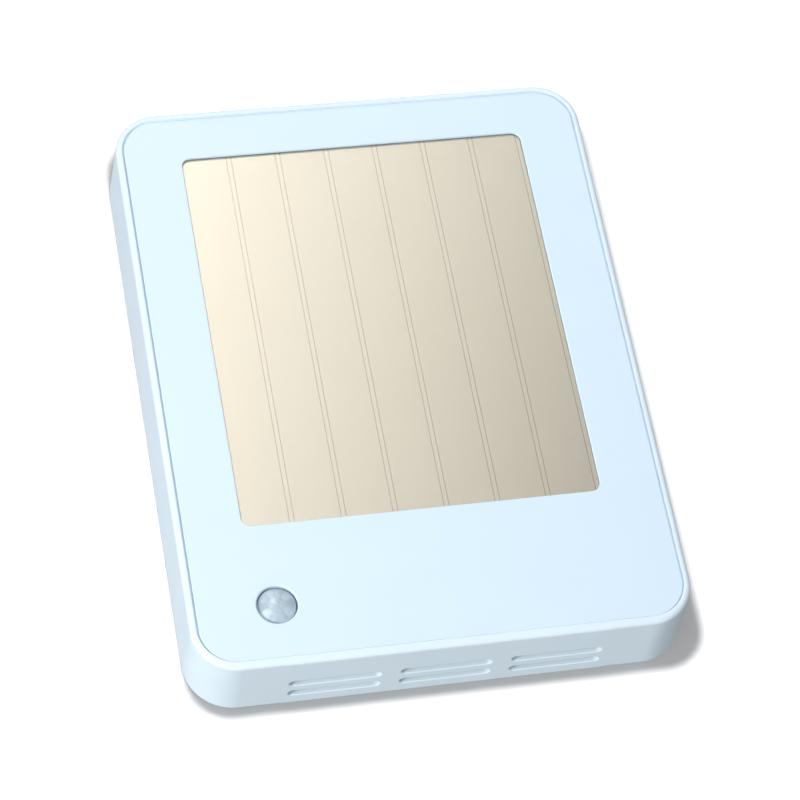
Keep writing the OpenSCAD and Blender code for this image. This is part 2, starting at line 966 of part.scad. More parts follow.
module reset_switch_plunger() {
    color("black") post(cover_in + 0.65, plunger_end, reset_x, reset_z, plunger_r);
}

module reset_switch_body() {
    back = board_back - switch_body_t;
    color("silver")
        difference() {
            block(back, board_back, reset_x, reset_z, reset_body_w, reset_body_w);
            post(back - 1, plunger_end + 0.8, reset_x, reset_z, plunger_r + fit_gap);
        }
}

module power_switch_body() {
    back = board_back - switch_body_t;
    mid_x = switch_x + switch_travel / 2;
    color("silver")
        difference() {
            block(back, board_back, mid_x, switch_z, switch_body_w, switch_body_h);
            block(back - 1, knob_end + 0.2, mid_x, switch_z, knob_w + switch_travel + 0.6, knob_h + 0.2);
        }
}

module power_switch_knob() {
    color("black") {
        block(cover_out + 0.3, knob_end, switch_x, switch_z, knob_w, knob_h);
        block(cover_in + 0.3, cover_in + 0.9, switch_x, switch_z, knob_w + 2, knob_h + 1.2);
    }
}

module rating_plate() {
    color("silver") block(cover_out, cover_out + label_t, 0, label_z, label_w, label_h);
}

// Hook that stands out of the wall plate and points up
module hook(x, z) {
    finger = cover_in + hook_gap;
    block(plate_t - eps, finger + hook_t, x, z, hook_w, hook_stem);
    block(finger, finger + hook_t, x, z + hook_rise / 2, hook_w, hook_stem + hook_rise);
}

module wall_plate() {
    sink = 1.4;
    box_slot_x = 30;
    box_slot_z = 52;
    tongue_z = -54;
    open_h = plate_open_high - plate_open_low;
    open_z = (plate_open_high + plate_open_low) / 2;
    color("whitesmoke")
        difference() {
            union() {
                layer(0, plate_t) rounded_rect(plate_w, plate_h, 8);
                for (s = sides, z = hook_z) hook(s * hook_x, z);
            }
            translate([0, 0, open_z])
                layer(-1, plate_t + 1) rounded_rect(plate_open_w, open_h, 5);
            for (sx = sides, sz = sides) {
                post(-1, plate_t + 1, sx * screw_span_x / 2, sz * screw_span_z / 2, wall_hole_r);
                post(plate_t - sink, plate_t + eps, sx * screw_span_x / 2, sz * screw_span_z / 2,
                     wall_hole_r, wall_hole_r + sink);
            }
            // Slots for a flush wall box
            for (sx = sides, sz = sides)
                translate([sx * box_slot_x, 0, sz * box_slot_z])
                    layer(-1, plate_t + 1) round_slot(8, 2 * wall_hole_r);
            // Slits that free the springy tongue
            for (s = sides)
                block(-1, plate_t + 1, s * 5, tongue_z, 1, 16);
            block(-1, plate_t + 1, 0, tongue_z - 7.5, 11, 1);
        }
    color("whitesmoke")
        post(plate_t - eps, plate_t + 0.15, 0, tongue_z - 4, 2, 1.6);
}

housing();
front_panel();
pv_bond_frame();
pv_cover_film();
pv_cells();
pv_busbars();
pv_carrier_film();
pv_flex_lead();
pv_connector();
motion_lens();
motion_sensor_can();
motion_sensor_window();
motion_sensor_pins();
circuit_board();
board_screws();
radio_module();
radio_shield();
chip_antenna();
board_chips();
power_inductor();
board_capacitors();
gas_sensor_base();
gas_sensor_cap();
climate_sensor();
sensor_foam_seal();
vent_dust_filter();
battery_tray();
tray_screws();
battery_cells();
battery_springs();
battery_contacts();
battery_lead_plus();
battery_lead_minus();
battery_plug();
battery_socket();
rear_cover();
rear_cover_screws();
battery_door();
battery_door_pad();
reset_button();
reset_switch_body();
reset_switch_plunger();
power_switch_body();
power_switch_knob();
rating_plate();
wall_plate();
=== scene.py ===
import json
import math

import bmesh
import bpy
from mathutils import Matrix, Vector

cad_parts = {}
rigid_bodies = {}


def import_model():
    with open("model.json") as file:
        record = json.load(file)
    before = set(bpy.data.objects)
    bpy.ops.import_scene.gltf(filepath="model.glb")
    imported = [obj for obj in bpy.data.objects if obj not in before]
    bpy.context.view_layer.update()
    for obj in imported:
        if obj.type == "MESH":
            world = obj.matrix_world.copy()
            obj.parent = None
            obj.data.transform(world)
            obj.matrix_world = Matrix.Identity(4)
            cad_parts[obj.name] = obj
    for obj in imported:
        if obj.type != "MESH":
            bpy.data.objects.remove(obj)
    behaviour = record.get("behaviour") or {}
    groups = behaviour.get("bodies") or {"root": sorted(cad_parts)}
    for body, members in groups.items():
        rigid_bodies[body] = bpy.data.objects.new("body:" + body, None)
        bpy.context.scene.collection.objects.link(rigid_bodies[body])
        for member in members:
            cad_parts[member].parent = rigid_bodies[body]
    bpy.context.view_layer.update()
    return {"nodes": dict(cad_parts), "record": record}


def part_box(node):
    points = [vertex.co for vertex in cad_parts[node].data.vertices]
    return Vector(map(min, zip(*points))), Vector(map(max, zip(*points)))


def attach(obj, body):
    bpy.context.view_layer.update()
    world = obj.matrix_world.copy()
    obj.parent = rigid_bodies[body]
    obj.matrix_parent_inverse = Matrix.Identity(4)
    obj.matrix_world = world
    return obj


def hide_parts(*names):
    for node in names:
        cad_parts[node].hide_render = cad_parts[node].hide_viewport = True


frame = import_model()

# A slim wall unit that charges its own cells from room light.
# Lengths are in millimetres until point() turns them into the frame's metres.
# Depth is the distance out from the wall, so depth d is y = -d in the frame.

MM = 0.001
STAGE_GAP = 0.2


def span(node):
    """Lowest and highest corner of a CAD node as (x, depth, z) in millimetres."""
    lo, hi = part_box(node)
    return Vector((lo.x, -hi.y, lo.z)) / MM, Vector((hi.x, -lo.y, hi.z)) / MM


# ---- sizes taken from the frame ----

shell_high = span("housing")[1]
panel_low, panel_high = span("front_panel")
film_low, film_high = span("pv_cover_film")
lens_low, lens_high = span("motion_lens")
filter_low, filter_high = span("vent_dust_filter")
carrier_low = span("pv_carrier_film")[0]
bond_high = span("pv_bond_frame")[1]

BODY_W = shell_high.x
BODY_H = shell_high.z
BODY_D = shell_high.y
DRAFT = 0.9
CORNER_R = 12.0
RIM_ROUND = 1.2
BACK_ROUND = 0.3
CAVITY = (58.4, 76.05, 9.2)
RECESS = (58.65, 76.05, 9.35)
RECESS_ROUND = 0.15
GROOVE_DEEP = 0.47
GROOVE_FIT = 0.03
PAD_HALF_W = 39.0
PAD_RISE = 0.12
PAD_STEP = 0.35

PANEL_W = panel_high.x
PANEL_H = (panel_high.z - panel_low.z) / 2
PANEL_Z = (panel_high.z + panel_low.z) / 2
PANEL_R = 8.9
PANEL_FRONT = panel_high.y
PANEL_BACK = bond_high.y
PANEL_ROUND = 0.14
PIN_X = 53.0
PIN_Z = (-68.0, 0.0, 68.0)
PIN_R = 1.2
PIN_FIT = 0.05
PIN_REACH = 1.4
PIN_SOCKET_DEEP = 1.6

WINDOW_X = (film_low.x + film_high.x) / 2
WINDOW_Z = (film_low.z + film_high.z) / 2
WINDOW_MARGIN = 2.95
WINDOW_W = (film_high.x - film_low.x) / 2 - WINDOW_MARGIN
WINDOW_H = (film_high.z - film_low.z) / 2 - WINDOW_MARGIN
WINDOW_R = 2.5
WINDOW_LIP = 0.2
POCKET_SLACK = 0.3
POCKET_FLOOR = carrier_low.y
DECK_THICK = 1.6
DECK_BACK = POCKET_FLOOR - DECK_THICK

LENS_X = (lens_low.x + lens_high.x) / 2
LENS_Z = (lens_low.z + lens_high.z) / 2
LENS_PLAY = (-0.1, -0.1)
LENS_HOLE_R = 4.85
LENS_HOLE_FIT = 0.05
LENS_HOLE_END = 15.0
LENS_CHAMFER = 0.28
LENS_R = 4.58
LENS_APEX = lens_high.y
LENS_BASE = PANEL_FRONT - 0.9

VENT_PITCH = 26.8
VENT_LEN = 22.0
VENT_W = 2.3
VENT_ROWS = (4.75, 9.5)
VENT_LIP = 0.28
VENT_FLARE = 78

# Screw bosses behind the deck: their places, and the depth of their free ends
CASE_BOSSES = [(sx * 52.2, sz * 69.8) for sx in (-1, 1) for sz in (-1, 1)]
CASE_BOSS_END = 3.8
CASE_BOSS_R = 3.4
BOARD_BOSSES = ((-48, -4), (48, -4), (-49, -48), (49, -48))
BOARD_BOSS_END = 10.8
TRAY_BOSSES = ((-30.5, 22), (30.5, 22))
TRAY_BOSS_END = 10.2
SMALL_BOSS_R = 2.8
BOSS_CHAMFER = 0.2
BOSS_ROOT = 0.4
CASE_PILOT_R = 1.1
CASE_PILOT_DEEP = 9.0
SMALL_PILOT_R = 0.95
SMALL_PILOT_DEEP = 6.0
PILOT_LEAD = 1.0

RIB_X = (-36, -12, 12, 36)
RIB_Z = 56
RIB_W = 0.6
RIB_H = 18.0
RIB_DEEP = 4.0
RIB_CHAMFER = 0.15

# Slot through the deck for the light cells' flat lead: its x and z
FLEX_SLOT_X = (-26, -14)
FLEX_SLOT_Z = (-44.5, -40.5)

CORNER_STEPS = 24


def point(x, d, z):
    """Frame point in metres from millimetres across, out from the wall and up."""
    return Vector((x * MM, -d * MM, z * MM))


# ---- mesh building ----

def rounded_outline(half_w, half_h, r, steps=CORNER_STEPS):
    """Points (x, z) of a rounded rectangle, round from the foot of its right side."""
    points = []
    for turn, (sx, sz) in enumerate(((1, -1), (1, 1), (-1, 1), (-1, -1))):
        for k in range(steps + 1):
            a = math.radians(-90 + 90 * turn + 90 * k / steps)
            points.append((sx * (half_w - r) + r * math.cos(a),
                           sz * (half_h - r) + r * math.sin(a)))
    return points


def slot_outline(half_len, half_w, steps=12):
    """Points (u, v) of a slot with round ends, lying along u."""
    points = []
    for turn, s in enumerate((1, -1)):
        for k in range(steps + 1):
            a = math.radians(-90 + 180 * turn + 180 * k / steps)
            points.append((s * (half_len - half_w) + half_w * math.cos(a),
                           half_w * math.sin(a)))
    return points


def arc(start, end, steps):
    """Angles in radians from start to end, both in degrees."""
    return [math.radians(start + (end - start) * k / steps) for k in range(steps + 1)]


def ring_mesh(rings):
    """Bmesh skinned over rings of points, capped at both ends."""
    bm = bmesh.new()
    rows = [[bm.verts.new(p) for p in ring] for ring in rings]
    for low, high in zip(rows, rows[1:]):
        for i in range(len(low)):
            j = (i + 1) % len(low)
            bm.faces.new((low[i], low[j], high[j], high[i]))
    bm.faces.new(list(reversed(rows[0])))
    bm.faces.new(rows[-1])
    bmesh.ops.recalc_face_normals(bm, faces=bm.faces)
    return bm


def plate_rings(profile, x=0.0, z=0.0, steps=CORNER_STEPS):
    """Rings of rounded rectangles from (half_w, half_h, r, depth) rows."""
    return [[point(x + u, d, z + v) for u, v in rounded_outline(w, h, r, steps)]
            for w, h, r, d in profile]


def spun_mesh(profile, spot, steps):
    """Bmesh of a turned shape: each profile row starts with a radius, and spot places (row, u, v)."""
    bm = bmesh.new()
    rows = []
    for row in profile:
        if row[0] < 1e-6:
            rows.append([bm.verts.new(spot(row, 0, 0))] * steps)
            continue
        rows.append([bm.verts.new(spot(row, row[0] * math.cos(a), row[0] * math.sin(a)))
                     for a in arc(0, 360, steps)[:-1]])
    for low, high in zip(rows, rows[1:]):
        for i in range(steps):
            j = (i + 1) % steps
            corners = list(dict.fromkeys((low[i], low[j], high[j], high[i])))
            if len(corners) > 2:
                bm.faces.new(corners)
    bmesh.ops.recalc_face_normals(bm, faces=bm.faces)
    return bm


def turned_mesh(profile, x, z, steps=64):
    """Bmesh turned about the depth axis at x and z, from (radius, depth) rows that begin and end on it."""
    return spun_mesh(profile, lambda row, u, v: point(x + u, row[1], z + v), steps)


def lying_turned(profile, d, z, steps=64):
    """Bmesh turned about the X axis through depth d and height z, from (radius, x) rows."""
    return spun_mesh(profile, lambda row, u, v: point(row[1], d + u, z + v), steps)


def box_mesh(low, high):
    """Bmesh of a box between two (x, depth, z) corners."""
    profile = [[(low[0], low[2]), (high[0], low[2]), (high[0], high[2]), (low[0], high[2])]] * 2
    return ring_mesh([[point(x, d, z) for x, z in flat] for flat, d in zip(profile, (low[1], high[1]))])


def merged(*parts):
    """One bmesh that holds several."""
    whole = bmesh.new()
    for part in parts:
        mesh = bpy.data.meshes.new("part")
        part.to_mesh(mesh)
        part.free()
        whole.from_mesh(mesh)
        bpy.data.meshes.remove(mesh)
    return whole


def new_object(name, bm):
    mesh = bpy.data.meshes.new(name)
    bm.to_mesh(mesh)
    bm.free()
    obj = bpy.data.objects.new(name, mesh)
    bpy.context.scene.collection.objects.link(obj)
    return obj


def baked(obj):
    """The object's mesh with its modifiers applied, as a new mesh."""
    bpy.context.view_layer.update()
    return bpy.data.meshes.new_from_object(obj.evaluated_get(bpy.context.evaluated_depsgraph_get()))


def carve(obj, tool, operation="DIFFERENCE"):
    """Joins or cuts the object with the tool's bmesh, for good."""
    cutter = new_object("tool", tool)
    step = obj.modifiers.new("carve", "BOOLEAN")
    step.solver = "EXACT"
    step.operation = operation
    step.object = cutter
    mesh = baked(obj)
    obj.modifiers.clear()
    obj.data = mesh
    bpy.data.objects.remove(cutter)


def shade(obj, sharp=32):
    """Smooth faces that meet at less than sharp degrees, with normals led by the large faces."""
    for polygon in obj.data.polygons:
        polygon.use_smooth = True
    obj.data.set_sharp_from_angle(angle=math.radians(sharp))
    weigh = obj.modifiers.new("normals", "WEIGHTED_NORMAL")
    weigh.mode = "FACE_AREA"
    weigh.keep_sharp = True


def add_piece(name, bm_or_obj, slot, body, *nodes):
    """Finishes a piece that stands for CAD nodes, rides on a body and takes a record slot's finish."""
    obj = bm_or_obj if isinstance(bm_or_obj, bpy.types.Object) else new_object(name, bm_or_obj)
    obj.data.materials.clear()
    obj.data.materials.append(materials[slot])
    shade(obj)
    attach(obj, body)
    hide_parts(*nodes)
    return obj


# ---- housing ----

def wall_inset(d):
    """How far the leaning side wall has moved in at depth d."""
    return DRAFT * d / (BODY_D - RIM_ROUND)


def housing_profile():
    """Rows (inset from the wall outline, depth, share of the pad's rise) up the outer side."""
    rows = [(BACK_ROUND * (1 - math.sin(a)), BACK_ROUND * (1 - math.cos(a)), 1.0) for a in arc(0, 90, 4)]
    rows += [(wall_inset(d), d, 1.0) for d in (4.0, 10.0, 15.0)]
    rows += [(DRAFT + RIM_ROUND * (1 - math.cos(a)), BODY_D - RIM_ROUND * (1 - math.sin(a)), math.cos(a))
             for a in arc(2, 90, 12)]
    return rows


def housing_ring(half_w, half_h, r, d, rise=0.0, middle=0.0):
    """Ring with extra points along its foot for the low pad round the vents."""
    outline = rounded_outline(half_w, half_h, r)
    foot = [(-PAD_HALF_W - PAD_STEP, -half_h), (-PAD_HALF_W, -half_h - rise),
            (PAD_HALF_W, -half_h - rise), (PAD_HALF_W + PAD_STEP, -half_h)]
    return [point(x, d, z + middle) for x, z in outline + foot]


def vent_cutter(x, d):
    """Slot through the bottom wall whose mouth widens to a round lip that follows the lean."""
    def ring(spread, height):
        rows = slot_outline(VENT_LEN / 2 + spread, VENT_W / 2 + spread)
        return [point(x + u, d + v, -BODY_H - PAD_RISE + wall_inset(d + v) + height) for u, v in rows]

    lip = [(VENT_LIP * (1 - math.cos(a)), VENT_LIP * (1 - math.sin(a))) for a in arc(0, VENT_FLARE, 6)]
    spread, height = lip[-1]
    slope = math.tan(math.radians(VENT_FLARE))
    lip.append((spread + (height + 0.4) * slope, -0.4))
    return ring_mesh([ring(0, 6.0)] + [ring(s, h) for s, h in lip])


def boss(end, r, x, z):
    """Screw boss from its chamfered free end to the deck."""
    root = DECK_BACK + BOSS_ROOT
    profile = [(0, end), (r - BOSS_CHAMFER, end), (r, end + BOSS_CHAMFER), (r, root), (0, root)]
    return turned_mesh(profile, x, z)


def housing_bosses():
    """Screw bosses and stiffening ribs that stand on the back of the deck."""
    parts = [boss(CASE_BOSS_END, CASE_BOSS_R, x, z) for x, z in CASE_BOSSES]
    parts += [boss(BOARD_BOSS_END, SMALL_BOSS_R, x, z) for x, z in BOARD_BOSSES]
    parts += [boss(TRAY_BOSS_END, SMALL_BOSS_R, x, z) for x, z in TRAY_BOSSES]
    tip = DECK_BACK - RIB_DEEP
    rib = [(RIB_W - RIB_CHAMFER, RIB_H - RIB_CHAMFER, 0.1, tip), (RIB_W, RIB_H, 0.25, tip + RIB_CHAMFER),
           (RIB_W, RIB_H, 0.25, DECK_BACK + BOSS_ROOT)]
    parts += [ring_mesh(plate_rings(rib, x, RIB_Z, 3)) for x in RIB_X]
    return merged(*parts)


def pilot(r, boss_end, deep, x, z):
    """Cutter for a screw's pilot hole, with a drilled tip."""
    low = boss_end - PILOT_LEAD
    return turned_mesh([(0, low), (r, low), (r, low + deep), (0, low + deep + r * 0.6)], x, z, 24)


def shaft(r, low, high, x, z, steps=64):
    """Cutter for a plain round hole."""
    return turned_mesh([(0, low), (r, low), (r, high), (0, high)], x, z, steps)


def housing_cutters():
    """Everything cut from the housing, apart from the flat lead's slot."""
    pocket = (film_low.x - POCKET_SLACK, POCKET_FLOOR, film_low.z - POCKET_SLACK)
    pocket_end = (film_high.x + POCKET_SLACK, BODY_D, film_high.z + POCKET_SLACK)
    parts = [box_mesh(pocket, pocket_end)]
    parts.append(shaft(LENS_HOLE_R + LENS_HOLE_FIT, LENS_HOLE_END, BODY_D + 1, LENS_X, LENS_Z))
    parts += [shaft(PIN_R + PIN_FIT, PANEL_BACK - PIN_SOCKET_DEEP, BODY_D, s * PIN_X, z, 24)
              for s in (-1, 1) for z in PIN_Z]
    parts += [pilot(SMALL_PILOT_R, TRAY_BOSS_END, SMALL_PILOT_DEEP, x, z) for x, z in TRAY_BOSSES]
    parts += [pilot(CASE_PILOT_R, CASE_BOSS_END, CASE_PILOT_DEEP, x, z) for x, z in CASE_BOSSES]
    parts += [pilot(SMALL_PILOT_R, BOARD_BOSS_END, SMALL_PILOT_DEEP, x, z) for x, z in BOARD_BOSSES]
    parts += [vent_cutter(g * VENT_PITCH, d) for g in (-1, 0, 1) for d in VENT_ROWS]
    return merged(*parts)


def build_housing():
    cavity_w, cavity_h, cavity_r = CAVITY
    recess_w, recess_h, recess_r = RECESS
    rings = [housing_ring(cavity_w, cavity_h, cavity_r, d) for d in (DECK_BACK, 9.0)]
    for grow, d in ((0.0, 0.25), (0.07, 0.07), (0.25, 0.0)):
        rings.append(housing_ring(cavity_w + grow, cavity_h + grow, cavity_r + grow, d))
    for inset, d, share in housing_profile():
        rings.append(housing_ring(BODY_W - inset, BODY_H - inset, CORNER_R - inset, d, PAD_RISE * share))
    for a in arc(90, 0, 3):
        grow = RECESS_ROUND * (1 - math.cos(a))
        d = BODY_D - RECESS_ROUND * (1 - math.sin(a))
        rings.append(housing_ring(recess_w + grow, recess_h + grow, recess_r + grow, d))
    groove = PANEL_FRONT - GROOVE_DEEP
    rings.append(housing_ring(recess_w, recess_h, recess_r, groove))
    seat = [size + GROOVE_FIT for size in (PANEL_W, PANEL_H, PANEL_R)]
    for d in (groove - 0.1, PANEL_BACK):
        rings.append(housing_ring(*seat, d, 0, PANEL_Z))
    shell = new_object("housing_shell", ring_mesh(rings))
    carve(shell, housing_bosses(), "UNION")
    carve(shell, housing_cutters())
    slot = [(x, d, z) for x, d, z in zip(FLEX_SLOT_X, (DECK_BACK - 1, POCKET_FLOOR + 0.4), FLEX_SLOT_Z)]
    carve(shell, box_mesh(*slot))
    return shell


# ---- front ----

def plate_edge(half_w, half_h, r, round_r, steps=5):
    """Rows from a plate's back to its front, with a round along the front edge."""
    rows = [(half_w, half_h, r, PANEL_BACK)]
    for a in arc(0, 90, steps):
        off = round_r * (1 - math.cos(a))
        rows.append((half_w - off, half_h - off, r - off, PANEL_FRONT - round_r * (1 - math.sin(a))))
    return rows


def build_front_panel():
    edge = plate_edge(PANEL_W, PANEL_H, PANEL_R, PANEL_ROUND)
    plate = new_object("front_plate", ring_mesh(plate_rings(edge, 0, PANEL_Z)))
    pin_end = PANEL_BACK - PIN_REACH
    pin_root = PANEL_BACK + 0.4
    pin = [(0, pin_end), (PIN_R - 0.2, pin_end), (PIN_R, pin_end + 0.2), (PIN_R, pin_root), (0, pin_root)]
    carve(plate, merged(*[turned_mesh(pin, s * PIN_X, z, 24) for s in (-1, 1) for z in PIN_Z]), "UNION")
    carve(plate, ring_mesh(plate_rings(window_profile(), WINDOW_X, WINDOW_Z, 12)))
    carve(plate, turned_mesh(lens_hole_profile(), LENS_X, LENS_Z, 96))
    return plate


def window_profile():
    """Rows of the window's cutter, widening to a round lip at the front."""
    def row(grow, depth):
        return (WINDOW_W + grow, WINDOW_H + grow, WINDOW_R + grow, depth)

    rows = [row(0.0, PANEL_BACK - 1)]
    for a in arc(0, 78, 5):
        grow = WINDOW_LIP * (1 - math.cos(a))
        rows.append(row(grow, PANEL_FRONT - WINDOW_LIP * (1 - math.sin(a))))
    grow += (WINDOW_LIP * (1 - math.sin(a)) + 0.3) * math.tan(a)
    rows.append(row(grow, PANEL_FRONT + 0.3))
    return rows


def lens_hole_profile():
    """Rows of the lens hole's cutter, with a chamfered mouth."""
    rim = LENS_HOLE_R + LENS_CHAMFER
    return [(0, PANEL_BACK - 1), (LENS_HOLE_R, PANEL_BACK - 1),
            (LENS_HOLE_R, PANEL_FRONT - LENS_CHAMFER - 0.06),
            (LENS_HOLE_R + 0.06, PANEL_FRONT - LENS_CHAMFER), (rim - 0.05, PANEL_FRONT - 0.06),
            (rim + 0.06, PANEL_FRONT), (rim + 0.7, PANEL_FRONT + 0.3), (0, PANEL_FRONT + 0.3)]


# ---- motion lens ----

LENS_WALL = 0.5
INNER_FACETS = 5
OUTER_FACETS = 10
INNER_EDGE = 0.42
FACET_BULGE = 0.07
INNER_TURN = 20.0
OUTER_TURN = 17.0
# Painted light and shade of the small lenses: a mean brightness, and one for each inner and each outer lens
MEAN_PAINTED_LIGHT = 0.35
INNER_PAINTED_LIGHT = (0.25, 1.0, 0.45, 0.35, 0.3)
OUTER_PAINTED_LIGHT = (0.7, 0.3, 0.5, 0.25, 0.05, 1.0, 0.45, 0.3, 0.55, 0.15)


def lens_facet(share, angle):
    """(height 0 to 1, painted light and shade) of the small lens at a share of the dome's radius and an angle
    in degrees.
    """
    inner = share < INNER_EDGE
    count = INNER_FACETS if inner else OUTER_FACETS
    turned = (angle - (INNER_TURN if inner else OUTER_TURN)) % 360 / (360 / count)
    index = int(turned) % count
    across = 2 * (turned - int(turned)) - 1
    along = share / INNER_EDGE if inner else (share - INNER_EDGE) / (1 - INNER_EDGE)
    along = 2 * along - 1
    if inner:
        along = max(0.0, along)
    height = (1 - across ** 2) * (1 - along ** 2)
    tone = (INNER_PAINTED_LIGHT if inner else OUTER_PAINTED_LIGHT)[index]
    return height, MEAN_PAINTED_LIGHT + (tone - MEAN_PAINTED_LIGHT) * height ** 0.4


def dome_height(r, base_r, rise):
    ball = (base_r ** 2 + rise ** 2) / (2 * rise)
    return math.sqrt(max(ball ** 2 - r ** 2, 0)) - ball + rise


def build_motion_lens():
    """Milky dome of pillow-shaped lenses on a skirt with a flange, hollow inside."""
    rise = LENS_APEX - LENS_BASE
    inner_r = LENS_R - LENS_WALL
    around = 180
    bm = bmesh.new()
    # Each vertex keeps the painted light and shade of its small lens
    painted_light_layer = bm.verts.layers.float.new("facet_painted_light")
    angles = [360 * k / around for k in range(around)]

    def ring(r, depth_at):
        return [bm.verts.new(point(LENS_X + r * math.cos(math.radians(a)), depth_at(a),
                                   LENS_Z + r * math.sin(math.radians(a)))) for a in angles]

    def flat(d):
        return lambda a: d

    def outer(r):
        share = r / LENS_R
        fade = FACET_BULGE * min(1.0, (1 - share) * 8)
        base = LENS_BASE + dome_height(r, LENS_R, rise - FACET_BULGE)
        return lambda a: base + fade * lens_facet(share, a)[0]

    def inner(r):
        return flat(LENS_BASE + dome_height(r, inner_r, rise - LENS_WALL - FACET_BULGE))

    radii = [LENS_R * k / 36 for k in range(1, 37)]
    rows = [ring(r, outer(r)) for r in radii]
    for r, row in zip(radii, rows):
        for a, vert in zip(angles, row):
            vert[painted_light_layer] = lens_facet(r / LENS_R, a)[1]
    seat = DECK_BACK - 0.05
    skirt = [(LENS_R, seat + 0.1), (LENS_R + 0.1, seat), (5.7, seat), (5.8, seat - 0.1),
             (5.8, seat - 0.6), (5.7, seat - 0.7), (inner_r, seat - 0.7), (inner_r, LENS_BASE - 0.2)]
    rows += [ring(r, flat(d)) for r, d in skirt]
    rows += [ring(inner_r * k / 10, inner(inner_r * k / 10)) for k in range(10, 0, -1)]
    first = bm.verts.new(point(LENS_X, outer(0.0)(0.0), LENS_Z))
    last = bm.verts.new(point(LENS_X, inner(0.0)(0.0), LENS_Z))
    first[painted_light_layer] = MEAN_PAINTED_LIGHT
    for low, high in zip(rows, rows[1:]):
        for i in range(around):
            j = (i + 1) % around
            bm.faces.new((low[i], low[j], high[j], high[i]))
    for i in range(around):
        j = (i + 1) % around
        bm.faces.new((first, rows[0][j], rows[0][i]))
        bm.faces.new((last, rows[-1][i], rows[-1][j]))
    bmesh.ops.recalc_face_normals(bm, faces=bm.faces)
    bmesh.ops.translate(bm, verts=bm.verts, vec=point(LENS_PLAY[0], 0, LENS_PLAY[1]))
    return bm


# ---- small pieces behind the front ----

def tube_mesh(path, r, steps=16):
    """Bmesh of a round wire along a path of frame points in millimetres."""
    points = [Vector(p) for p in path]
    rings = []
    side = None
    for i, p in enumerate(points):
        way = (points[min(i + 1, len(points) - 1)] - points[max(i - 1, 0)]).normalized()
        side = way.orthogonal() if side is None else side - side.dot(way) * way
        side.normalize()
        other = way.cross(side)
        rings.append([point(*(p + r * (side * math.cos(a) + other * math.sin(a))))
                      for a in arc(0, 360, steps)[:-1]])
    return ring_mesh(rings)


CELL_LENGTH = 44.5
SPRING_WIRE_R = 0.33
SPRING_R = (3.6, 2.2)
SPRING_TURNS = 3
SPRING_STEPS = 96


def build_spring(direction, near, far, d, z):
    """Tapered contact spring along X from near, its wide end at the contact, to far."""
    wide, narrow = SPRING_R
    path = []
    for k in range(SPRING_STEPS + 1):
        t = k / SPRING_STEPS
        r = wide + (narrow - wide) * t
        a = 2 * math.pi * SPRING_TURNS * t
        x = near + direction * SPRING_WIRE_R + (far - near - direction * 2 * SPRING_WIRE_R) * t
        path.append((x, d + r * math.cos(a), z + r * math.sin(a)))
    return tube_mesh(path, SPRING_WIRE_R)


def build_battery_cell(direction, tip_x, d, z, r):
    """Rechargeable cell with a nub, a sleeve rolled over its shoulder and a flat end."""
    rows = [(0, 0), (1.6, 0), (1.9, 0.3), (1.9, 1.0), (2.3, 1.1), (r - 1.2, 1.1), (r - 1.0, 1.0),
            (r - 0.5, 1.0), (r - 0.15, 1.15), (r, 1.5), (r, CELL_LENGTH - 0.5),
            (r - 0.15, CELL_LENGTH - 0.15), (r - 0.5, CELL_LENGTH), (r - 0.9, CELL_LENGTH),
            (r - 1.1, CELL_LENGTH - 0.15), (0, CELL_LENGTH - 0.15)]
    return lying_turned([(radius, tip_x - direction * along) for radius, along in rows], d, z)


FLEECE_WAVE = 0.05


def build_filter():
    """Fleece strip with a softly uneven face, behind the vent slots."""
    low, high = filter_low, filter_high
    nx, nd = 80, 8
    bm = bmesh.new()
    grids = []
    for z, sign in ((low.z, 1), (high.z, -1)):
        grid = []
        for i in range(nx + 1):
            row = []
            for j in range(nd + 1):
                x = low.x + (high.x - low.x) * i / nx
                d = low.y + (high.y - low.y) * j / nd
                wave = 0.0
                if 0 < i < nx and 0 < j < nd:
                    wave = math.sin(i * 1.9 + 0.7 * j) * math.cos(j * 2.3 + 0.4 * i)
                row.append(bm.verts.new(point(x, d, z + sign * FLEECE_WAVE * (1 + wave))))
            grid.append(row)
        grids.append(grid)
    for grid in grids:
        for i in range(nx):
            for j in range(nd):
                bm.faces.new((grid[i][j], grid[i + 1][j], grid[i + 1][j + 1], grid[i][j + 1]))
    bottom, top = grids
    rim = [(i, 0) for i in range(nx)] + [(nx, j) for j in range(nd)]
    rim += [(i, nd) for i in range(nx, 0, -1)] + [(0, j) for j in range(nd, 0, -1)]
    for (i, j), (k, m) in zip(rim, rim[1:] + rim[:1]):
        bm.faces.new((bottom[i][j], bottom[k][m], top[k][m], top[i][j]))
    bmesh.ops.recalc_face_normals(bm, faces=bm.faces)
    return bm


# ---- materials ----

SHELL_COLOR = (0.73, 0.86, 0.955)
PANEL_COLOR = (0.672, 0.822, 0.95)
# Painted shade inside the vent slots, a darker tint of the shell: its depth to either side of their middle,
# and its height
SLOT_PAINTED_SHADE = (0.925, 0.92, 0.90)
SLOT_HALF_DEPTH = 4.6
SLOT_HEIGHT = 6.0
SLOT_FADE = (0.01, 0.2)
# Light cells: colour and share of their mirror-like sheen
CELL_SHEEN = (1.0, 0.92, 0.74)
CELL_MIRROR = 0.22


